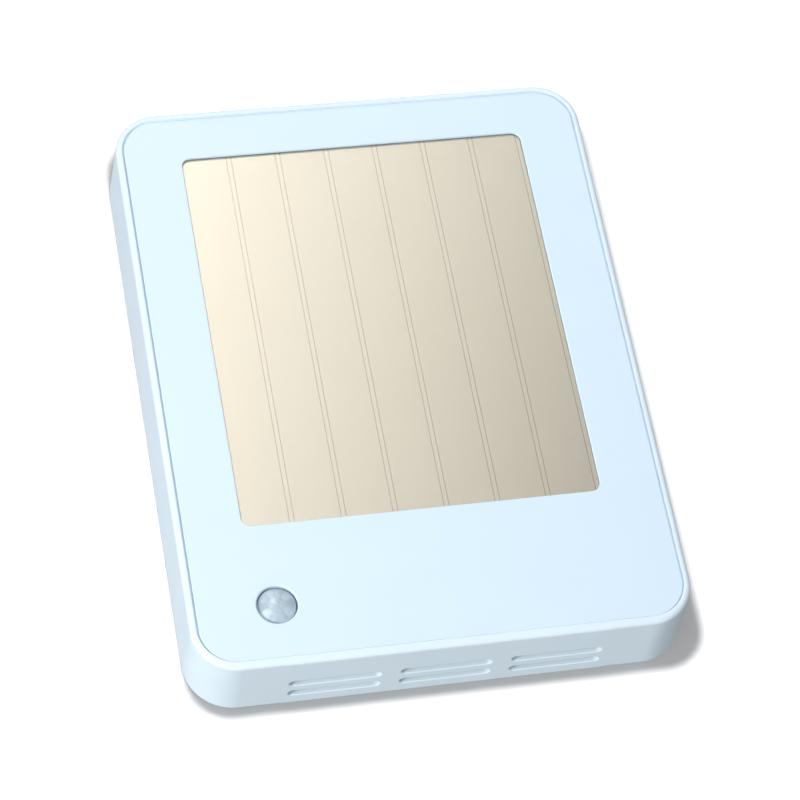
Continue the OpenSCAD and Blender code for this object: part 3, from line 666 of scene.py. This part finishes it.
class Shader:
    """Short ways to build a material's or a world's nodes."""

    def __init__(self, tree_owner):
        tree_owner.use_nodes = True
        self.tree = tree_owner.node_tree
        self.tree.nodes.clear()

    def add(self, kind, inputs=None, **settings):
        node = self.tree.nodes.new("ShaderNode" + kind)
        for name, value in settings.items():
            setattr(node, name, value)
        for name, value in (inputs or {}).items():
            if isinstance(value, bpy.types.NodeSocket):
                self.tree.links.new(value, node.inputs[name])
            elif isinstance(value, tuple) and node.inputs[name].type == "RGBA":
                node.inputs[name].default_value = (*value, 1)
            else:
                node.inputs[name].default_value = value
        return node

    def place(self):
        return self.add("TexCoord").outputs["Object"]

    def noise(self, size, detail=2.0, stretch=None):
        """Noise whose features are about size millimetres across, drawn out by stretch."""
        where = self.place()
        if stretch:
            where = self.add("Mapping", {"Vector": where, "Scale": tuple(1 / s for s in stretch)}).outputs[0]
        noise = self.add("TexNoise", {"Vector": where, "Scale": 1 / (size * MM), "Detail": detail})
        return noise.outputs["Fac"]

    def remap(self, value, low, high, start=0.3, end=0.7):
        return self.add("MapRange", {"Value": value, "From Min": start, "From Max": end,
                                     "To Min": low, "To Max": high}).outputs[0]

    def math(self, operation, a, b=0.0):
        return self.add("Math", {0: a, 1: b}, operation=operation).outputs[0]

    def blend_value(self, factor, a, b):
        """Mix of two numbers."""
        return self.add("Mix", {0: factor, 2: a, 3: b}, data_type="FLOAT").outputs[0]

    def blend(self, factor, a, b, kind="MIX"):
        """Colour mix of a and b."""
        node = self.add("Mix", {0: factor}, data_type="RGBA", blend_type=kind)
        for index, value in ((6, a), (7, b)):
            if isinstance(value, bpy.types.NodeSocket):
                self.tree.links.new(value, node.inputs[index])
            else:
                node.inputs[index].default_value = (*value, 1)
        return node.outputs[2]

    def varied(self, color, amount, size, stretch=None):
        """Colour that drifts darker and lighter by amount."""
        dark = tuple(c * (1 - amount) for c in color)
        light = tuple(min(1.0, c * (1 + amount)) for c in color)
        return self.blend(self.remap(self.noise(size, 3, stretch), 0, 1), dark, light)

    def bump(self, height, relief, below=None):
        """Normal from a height whose full swing is relief millimetres."""
        inputs = {"Height": height, "Distance": relief * MM, "Strength": 1.0}
        if below:
            inputs["Normal"] = below
        return self.add("Bump", inputs).outputs[0]

    def finish(self, shader, target="OutputMaterial"):
        node = self.add(target)
        self.tree.links.new(shader, node.inputs["Surface"])


def new_material(name):
    material = bpy.data.materials.new(name)
    return material, Shader(material)


def plastic(name, color, rough=0.45, grain=0.3, relief=0.003, mottle=0.015, metal=0.0, coat=0.0, level=0.5):
    """Moulded plastic: slight colour drift, fine spark-eroded grain and uneven gloss."""
    material, s = new_material(name)
    normal = s.bump(s.noise(grain, 3), relief)
    normal = s.bump(s.noise(9, 1), relief * 2, normal)
    body = s.add("BsdfPrincipled", {
        "Base Color": s.varied(color, mottle, 16),
        "Roughness": s.remap(s.noise(4), rough - 0.04, rough + 0.04), "Metallic": metal, "Coat Weight": coat,
        "Specular IOR Level": level, "Normal": normal})
    s.finish(body.outputs[0])
    return material


def shell_material(name, color):
    """The housing's white plastic, with painted shade that darkens it where the vent slots pass through the
    bottom wall.
    """
    material, s = new_material(name)
    axis = s.add("SeparateXYZ", {0: s.place()})
    lean = s.math("MULTIPLY", axis.outputs[1], DRAFT / (BODY_D - RIM_ROUND))
    above = s.math("ADD", s.math("ADD", axis.outputs[2], (BODY_H + PAD_RISE) * MM), lean)
    inside = s.remap(above, 0, 1, SLOT_FADE[0] * MM, SLOT_FADE[1] * MM)
    inside = s.math("MULTIPLY", inside, s.math("LESS_THAN", above, SLOT_HEIGHT * MM))
    off_side = s.math("ABSOLUTE", axis.outputs[0])
    inside = s.math("MULTIPLY", inside, s.math("LESS_THAN", off_side, PAD_HALF_W * MM))
    off_middle = s.math("ABSOLUTE", s.math("ADD", axis.outputs[1], sum(VENT_ROWS) / 2 * MM))
    inside = s.math("MULTIPLY", inside, s.math("LESS_THAN", off_middle, SLOT_HALF_DEPTH * MM))
    # Painted shade: the shell's colour is multiplied darker inside the vent slots
    painted_slot_shade = s.blend(inside, (1, 1, 1), SLOT_PAINTED_SHADE)
    normal = s.bump(s.noise(0.3, 3), 0.003)
    normal = s.bump(s.noise(9, 1), 0.006, normal)
    body = s.add("BsdfPrincipled", {
        "Base Color": s.blend(1.0, s.varied(color, 0.012, 16), painted_slot_shade, "MULTIPLY"),
        "Roughness": s.remap(s.noise(4), 0.46, 0.54), "Normal": normal})
    s.finish(body.outputs[0])
    return material


def metal(name, color, rough=0.3, stretch=(1, 1, 12), scratch=0.25, relief=0.002, tarnish=0.05):
    """Drawn or plated metal: fine lines along stretch and patches of dulled plating."""
    material, s = new_material(name)
    lines = s.noise(scratch, 4, stretch)
    normal = s.bump(lines, relief)
    dull = s.remap(s.noise(3, 3), rough - 0.08, rough + 0.12)
    body = s.add("BsdfPrincipled", {
        "Base Color": s.varied(color, tarnish, 2.5), "Roughness": dull, "Metallic": 1.0, "Normal": normal})
    s.finish(body.outputs[0])
    return material


def cell_material(name, color):
    """Printed light cell: warm mirror-like sheen over a pale body, with faint streaks and fine grain."""
    material, s = new_material(name)
    streaks = s.noise(1.6, 3, (1, 1, 40))
    tone = s.blend(s.remap(streaks, 0, 1), tuple(c * 0.985 for c in color), tuple(c * 1.01 for c in color))
    aged = tuple(c * k for c, k in zip(color, (1.0, 0.985, 0.96)))
    patch = s.blend(s.remap(s.noise(30, 1), 0, 0.5), tone, aged)
    normal = s.bump(s.noise(0.25, 2), 0.0015)
    normal = s.bump(streaks, 0.002, normal)
    body = s.add("BsdfDiffuse", {"Color": patch, "Normal": normal})
    sheen = s.add("BsdfGlossy", {"Color": CELL_SHEEN, "Roughness": s.remap(s.noise(2, 2), 0.17, 0.21),
                                 "Normal": normal})
    s.finish(s.add("MixShader", {0: CELL_MIRROR, 1: body.outputs[0], 2: sheen.outputs[0]}).outputs[0])
    return material


def film_material(name):
    """Clear film: nearly all light goes through, and its satin skin mirrors a little."""
    material, s = new_material(name)
    clear = s.add("BsdfTransparent", {"Color": (0.995, 0.99, 0.975)})
    normal = s.bump(s.noise(6, 2), 0.002)
    sheen = s.add("BsdfGlossy", {"Color": (1, 1, 1), "Roughness": s.remap(s.noise(3, 2), 0.13, 0.17),
                                 "Normal": normal})
    fresnel = s.add("Fresnel", {"IOR": 1.38, "Normal": normal}).outputs[0]
    mixed = s.add("MixShader", {0: fresnel, 1: clear.outputs[0], 2: sheen.outputs[0]})
    s.finish(mixed.outputs[0])
    return material


def lens_material(name):
    """Milky polyethylene: soft inner scatter, and painted light and shade that makes each small lens brighter
    or darker.
    """
    material, s = new_material(name)
    # Painted light and shade: each small lens's brightness, clouded by noise, picks its colour between dark
    # and light
    tone = s.add("Attribute", attribute_name="facet_painted_light").outputs["Fac"]
    cloudy = s.remap(s.noise(0.9, 3), -0.15, 0.15)
    color = s.blend(s.math("ADD", tone, cloudy), (0.38, 0.48, 0.57), (0.64, 0.76, 0.83))
    normal = s.bump(s.noise(0.25, 2), 0.004)
    body = s.add("BsdfPrincipled", {
        "Base Color": color, "Roughness": 0.4, "Specular IOR Level": 0.3, "Subsurface Weight": 0.3,
        "Subsurface Radius": (1, 1, 1), "Subsurface Scale": 0.4 * MM, "Normal": normal})
    s.finish(body.outputs[0])
    return material


def board_material(name):
    """Green solder mask over a raised pattern of tracks."""
    material, s = new_material(name)
    where = s.add("Mapping", {"Vector": s.place(), "Rotation": (math.pi / 2, 0, 0)}).outputs[0]
    tracks = s.add("TexBrick", {"Vector": where,
                                "Color1": (0.02, 0.16, 0.07), "Color2": (0.015, 0.13, 0.055),
                                "Mortar": (0.03, 0.24, 0.1), "Scale": 1 / (10 * MM),
                                "Mortar Size": 0.012}).outputs[0]
    height = s.add("RGBToBW", {0: tracks}).outputs[0]
    normal = s.bump(height, 0.08)
    color = s.blend(s.remap(s.noise(2, 3), 0, 0.4), tracks, (0.02, 0.1, 0.05))
    body = s.add("BsdfPrincipled", {"Base Color": color, "Roughness": 0.3, "Normal": normal,
                                    "Coat Weight": 0.3})
    s.finish(body.outputs[0])
    return material


def fibre_material(name, color, size, relief, rough=0.95):
    """Fleece or foam: tangled fibres or cells from crossed noise."""
    material, s = new_material(name)
    along = s.noise(size, 4, (6, 1, 1))
    across = s.noise(size, 4, (1, 6, 4))
    height = s.math("ADD", along, across)
    # Painted shade: darker where the bump height is low, in the hollows between the fibres or cells
    tone = s.blend(s.remap(height, 0, 1, 0.8, 1.2), tuple(c * 0.75 for c in color), color)
    body = s.add("BsdfPrincipled", {"Base Color": tone, "Roughness": rough, "Normal": s.bump(height, relief)})
    s.finish(body.outputs[0])
    return material


def chip_material(name):
    """Moulded chip package: near-black epoxy with sparkling filler."""
    return plastic(name, (0.02, 0.02, 0.022), 0.5, 0.12, 0.006, 0.2)


def sleeve_material(name, end_x, end_r):
    """Battery: printed sleeve with a plain band, and bare steel at its ends."""
    material, s = new_material(name)
    axis = s.add("SeparateXYZ", {0: s.place()})
    far = s.math("ABSOLUTE", axis.outputs[0])
    bare = s.math("GREATER_THAN", far, end_x * MM)
    band = s.math("LESS_THAN", s.math("ABSOLUTE", s.math("SUBTRACT", far, (end_x - 6) * MM)), 2.5 * MM)
    sleeve = s.blend(band, s.varied((0.05, 0.22, 0.5), 0.06, 4), (0.75, 0.78, 0.8))
    color = s.blend(bare, sleeve, (0.72, 0.71, 0.7))
    body = s.add("BsdfPrincipled", {"Base Color": color, "Metallic": bare,
                                    "Roughness": s.remap(s.noise(2), 0.25, 0.35), "Coat Weight": 0.4,
                                    "Normal": s.bump(s.noise(1.2, 2), 0.002)})
    s.finish(body.outputs[0])
    return material


def make_materials():
    """Every material slot of the record, by name."""
    return {
        "bond_tape": plastic("bond_tape", (0.6, 0.6, 0.57), 0.7, 0.5, 0.01, 0.05),
        "cover_film": film_material("cover_film"),
        "cell_cream": cell_material("cell_cream", (0.757, 0.737, 0.692)),
        "busbar_silver": cell_material("busbar_silver", (0.772, 0.752, 0.707)),
        "carrier_brown": cell_material("carrier_brown", (0.36, 0.35, 0.315)),
        "flex_amber": plastic("flex_amber", (0.62, 0.26, 0.03), 0.25, 0.6, 0.004, 0.08, coat=0.5),
        "connector_ivory": plastic("connector_ivory", (0.78, 0.74, 0.6), 0.5),
        "lens_milky": lens_material("lens_milky"),
        "can_metal": metal("can_metal", (0.72, 0.71, 0.69), 0.3),
        "ir_window": plastic("ir_window", (0.06, 0.05, 0.06), 0.15, 1.0, 0.001, 0.2, coat=0.6),
        "gold_wire": metal("gold_wire", (0.95, 0.68, 0.3), 0.25),
        "board_green": board_material("board_green"),
        "screw_steel": metal("screw_steel", (0.6, 0.6, 0.61), 0.28, (1, 1, 1), 0.2, 0.004, 0.12),
        "module_blue": plastic("module_blue", (0.02, 0.05, 0.22), 0.35, 0.6, 0.01, 0.1, coat=0.3),
        "shield_tin": metal("shield_tin", (0.78, 0.78, 0.77), 0.35),
        "ceramic_white": plastic("ceramic_white", (0.85, 0.85, 0.82), 0.4, 0.15, 0.003),
        "chip_black": chip_material("chip_black"),
        "ferrite_grey": plastic("ferrite_grey", (0.09, 0.09, 0.095), 0.6, 0.25, 0.012, 0.15),
        "capacitor_tan": plastic("capacitor_tan", (0.5, 0.36, 0.2), 0.45, 0.2, 0.006, 0.1),
        "foam_grey": fibre_material("foam_grey", (0.16, 0.16, 0.17), 0.35, 0.12),
        "filter_fleece": fibre_material("filter_fleece", (0.85, 0.86, 0.86), 0.22, 0.1),
        "tray_white": plastic("tray_white", (0.74, 0.77, 0.78), 0.5, 0.4, 0.005),
        "cell_sleeve": sleeve_material("cell_sleeve", 22.3, 4.0),
        "spring_nickel": metal("spring_nickel", (0.82, 0.79, 0.74), 0.22, (1, 1, 1), 0.3),
        "lead_red": plastic("lead_red", (0.5, 0.02, 0.02), 0.4, 0.5, 0.006, 0.06),
        "lead_black": plastic("lead_black", (0.02, 0.02, 0.022), 0.4, 0.5, 0.006, 0.2),
        "button_grey": plastic("button_grey", (0.58, 0.61, 0.63), 0.45, 0.25, 0.005),
        "knob_black": plastic("knob_black", (0.03, 0.03, 0.033), 0.4, 0.25, 0.005, 0.15),
        "label_silver": plastic("label_silver", (0.66, 0.67, 0.68), 0.32, 0.12, 0.003, 0.03, metal=0.55),
        "plate_white": plastic("plate_white", (0.74, 0.82, 0.86), 0.55, 0.35, 0.008, 0.02),
        "shell_white": shell_material("shell_white", SHELL_COLOR),
        "panel_white": plastic("panel_white", PANEL_COLOR, 0.38, 0.3, 0.0015, 0.008),
    }


materials = make_materials()


# ---- carried-over CAD nodes ----

# Nodes thinner than their edge softening get a finer one
FINE_NODES = ("pv_bond_frame", "pv_cover_film", "pv_cells", "pv_busbars", "pv_carrier_film", "pv_flex_lead",
              "rating_plate", "motion_sensor_window")
ROUND_NODES = ("battery_lead_plus", "battery_lead_minus", "motion_sensor_pins")
UNDER_FILM = ("pv_cells", "pv_busbars", "pv_carrier_film")
FILM_GAP = 0.012
FINE_ROUND = 0.02
PLAIN_ROUND = 0.15


def soften(obj, width):
    """Clean flats, small rounds on every sharp edge, and smooth normals."""
    weld = obj.modifiers.new("weld", "WELD")
    weld.merge_threshold = 0.002 * MM
    flat = obj.modifiers.new("flat", "DECIMATE")
    flat.decimate_type = "DISSOLVE"
    flat.angle_limit = math.radians(0.6)
    if width:
        edge = obj.modifiers.new("edge", "BEVEL")
        edge.limit_method = "ANGLE"
        edge.angle_limit = math.radians(32)
        edge.width = width * MM
        edge.segments = 2
        edge.miter_outer = "MITER_ARC"
        edge.harden_normals = False
    weigh = obj.modifiers.new("normals", "WEIGHTED_NORMAL")
    weigh.mode = "FACE_AREA"
    weigh.keep_sharp = True


def settle(obj):
    """A hair's gap behind the film, so that two faces never share one plane."""
    gap = obj.modifiers.new("gap", "DISPLACE")
    gap.direction = "Y"
    gap.mid_level = 0.0
    gap.strength = FILM_GAP * MM


def dress_cad_nodes(slots):
    for name, obj in frame["nodes"].items():
        if obj.hide_render:
            continue
        obj.data.materials.clear()
        obj.data.materials.append(materials[slots[name]])
        for polygon in obj.data.polygons:
            polygon.use_smooth = True
        if name in UNDER_FILM:
            settle(obj)
        if name in ROUND_NODES:
            soften(obj, 0)
        elif name in FINE_NODES:
            soften(obj, FINE_ROUND)
        else:
            soften(obj, PLAIN_ROUND)


# ---- stage, light and camera ----

STAGE_SIZE = 3000
# Distances in metres over which the wall turns from lit paint to plain white
STAGE_FADE = (0.14, 0.26)


def build_stage():
    """Pale wall behind the unit, plain white further out, and clear when seen from behind."""
    bm = bmesh.new()
    turns = ((-1, -1), (1, -1), (1, 1), (-1, 1))
    bm.faces.new([bm.verts.new(point(sx * STAGE_SIZE, -STAGE_GAP, sz * STAGE_SIZE)) for sx, sz in turns])
    wall = new_object("stage_wall", bm)
    material, s = new_material("stage_white")
    paint = s.add("BsdfDiffuse", {"Color": s.varied((0.62, 0.62, 0.62), 0.004, 40)})
    reach = s.add("VectorMath", {0: s.place()}, operation="LENGTH").outputs["Value"]
    far = s.remap(reach, 0, 1, *STAGE_FADE)
    white = s.add("Emission", {"Color": (1, 1, 1), "Strength": 1.0})
    paint = s.add("MixShader", {0: far, 1: paint.outputs[0], 2: white.outputs[0]})
    clear = s.add("BsdfTransparent")
    behind = s.add("NewGeometry").outputs["Backfacing"]
    s.finish(s.add("MixShader", {0: behind, 1: paint.outputs[0], 2: clear.outputs[0]}).outputs[0])
    wall.data.materials.append(material)
    wall.visible_diffuse = False
    wall.visible_glossy = False
    wall.visible_transmission = False
    wall.visible_shadow = False
    return wall


# Soft light of the room: its level, and how it leans to the left, the front and below
AMBIENT = 0.324
AMBIENT_LEAN = (-0.08, -0.50, -0.27)
# What glossy surfaces mirror: a wide bright field up and to the left of the front
MIRROR_LOW = 0.0
MIRROR_HIGH = 5.0
MIRROR_SPAN = (-0.74, 1.5)
MIRROR_MIDDLE = (0.2, 0.5)
MIRROR_SLOPE = (-7.0, 3.0)
# Its level far to the left, and the span of directions over which it falls to that
MIRROR_SIDE = 0.85
MIRROR_FALL = (-0.5, -0.15)
MIRROR_BACK = 0.3


def build_world():
    """Soft light that leans to the front, the left and below, and a bright left side to mirror."""
    world = bpy.data.worlds.new("room")
    bpy.context.scene.world = world
    s = Shader(world)
    way = s.add("TexCoord").outputs["Generated"]
    lean = s.add("VectorMath", {0: way, 1: AMBIENT_LEAN}, operation="DOT_PRODUCT").outputs["Value"]
    soft = s.math("MAXIMUM", s.math("ADD", lean, AMBIENT), 0.0)
    axis = s.add("SeparateXYZ", {0: way})
    side = s.math("MULTIPLY", s.math("SUBTRACT", axis.outputs[0], MIRROR_MIDDLE[0]), MIRROR_SLOPE[0])
    height = s.math("MULTIPLY", s.math("SUBTRACT", axis.outputs[2], MIRROR_MIDDLE[1]), MIRROR_SLOPE[1])
    field = s.remap(s.math("ADD", side, height), MIRROR_LOW, MIRROR_HIGH, *MIRROR_SPAN)
    field = s.blend_value(s.remap(axis.outputs[0], 0, 1, *MIRROR_FALL), MIRROR_SIDE, field)
    mirror = s.blend_value(s.remap(axis.outputs[1], 0, 1, -0.2, 0.2), field, MIRROR_BACK)
    path = s.add("LightPath")
    level = s.blend_value(path.outputs["Is Glossy Ray"], soft, mirror)
    level = s.blend_value(path.outputs["Is Camera Ray"], level, 1.0)
    background = s.add("Background", {"Color": (1, 1, 1), "Strength": level})
    s.finish(background.outputs[0], "OutputWorld")


def area_light(name, azimuth, elevation, distance, size, level):
    """Softbox at an azimuth left of front and an elevation in degrees; level 1 lights white fully."""
    data = bpy.data.lights.new(name, "AREA")
    data.shape = "DISK"
    data.size = size
    data.energy = level * 4 * (math.pi * distance) ** 2 / math.pi
    light = bpy.data.objects.new(name, data)
    bpy.context.scene.collection.objects.link(light)
    a, e = math.radians(azimuth), math.radians(elevation)
    away = Vector((-math.sin(a) * math.cos(e), -math.cos(a) * math.cos(e), math.sin(e)))
    light.location = away * distance
    light.rotation_mode = "QUATERNION"
    light.rotation_quaternion = away.to_track_quat("Z", "Y")
    return light


def build_lights(wall):
    """A key that only casts the unit's shadow on the wall, a low left softbox and a back light."""
    shadow_key = area_light("shadow_key", 7.4, -3.1, 0.275, 0.07, 2.6)
    only_wall = bpy.data.collections.new("wall_only")
    only_wall.objects.link(wall)
    shadow_key.light_linking.receiver_collection = only_wall
    low_left = area_light("low_left", 58, -24, 0.91, 0.3, 0.53)
    high_right = area_light("high_right", -51, 56, 0.6, 0.4, 0.24)
    back = area_light("back", 180, 20, 1.2, 0.8, 0.6)
    no_wall = bpy.data.collections.new("unit_only")
    for obj in bpy.context.scene.objects:
        if obj.type == "MESH" and obj is not wall:
            no_wall.objects.link(obj)
    for light in (low_left, high_right, back):
        light.light_linking.receiver_collection = no_wall
        light.visible_glossy = False


CAMERA_AIM = (-0.8, 20.0, -11.5)
CAMERA_DISTANCE = 747.4
CAMERA_AZIMUTH = 11.96
CAMERA_ELEVATION = -28.23
CAMERA_ROLL = 11.23
CAMERA_LENS = 138.0


def build_camera():
    """Camera below and left of the unit, rolled to the right."""
    data = bpy.data.cameras.new("camera")
    data.lens = CAMERA_LENS
    data.sensor_width = 36
    data.clip_start = 0.01
    data.clip_end = 20
    camera = bpy.data.objects.new("camera", data)
    bpy.context.scene.collection.objects.link(camera)
    a, e, roll = (math.radians(v) for v in (CAMERA_AZIMUTH, CAMERA_ELEVATION, CAMERA_ROLL))
    away = Vector((-math.sin(a) * math.cos(e), -math.cos(a) * math.cos(e), math.sin(e)))
    level_right = (-away).cross(Vector((0, 0, 1))).normalized()
    level_up = level_right.cross(-away)
    up = math.cos(roll) * level_up + math.sin(roll) * level_right
    right = (-away).cross(up)
    matrix = Matrix((right, up, away)).transposed().to_4x4()
    matrix.translation = point(*CAMERA_AIM) + away * CAMERA_DISTANCE * MM
    camera.matrix_world = matrix
    bpy.context.scene.camera = camera


# ---- assembly ----

def add_batteries():
    """The two cells, laid opposite ways, and the spring at the flat end of each."""
    cells_low, cells_high = span("battery_cells")
    springs_high = span("battery_springs")[1]
    d = (cells_low.y + cells_high.y) / 2
    r = (cells_high.y - cells_low.y) / 2
    middle = (cells_low.z + cells_high.z) / 2
    row_half = (cells_high.z - cells_low.z) / 2 - r
    cells = []
    springs = []
    for direction in (1, -1):
        z = middle - direction * row_half
        tip = direction * cells_high.x
        cells.append(build_battery_cell(direction, tip, d, z, r))
        near = -direction * springs_high.x
        springs.append(build_spring(direction, near, tip - direction * CELL_LENGTH, d, z))
    add_piece("sleeved_cells", merged(*cells), "cell_sleeve", "unit", "battery_cells")
    add_piece("contact_springs", merged(*springs), "spring_nickel", "unit", "battery_springs")


slots = {row["node"]: row["material_slot"] for row in frame["record"]["subparts"]}

add_piece("housing_shell", build_housing(), "shell_white", "unit", "housing")
add_piece("front_plate", build_front_panel(), "panel_white", "unit", "front_panel")
add_piece("lens_dome", build_motion_lens(), "lens_milky", "unit", "motion_lens")
add_piece("vent_fleece", build_filter(), "filter_fleece", "unit", "vent_dust_filter")

add_batteries()

dress_cad_nodes(slots)
wall = build_stage()
build_world()
build_lights(wall)
build_camera()

scene = bpy.context.scene
scene.view_settings.view_transform = "Standard"
if hasattr(scene, "cycles"):
    scene.cycles.use_denoising = True
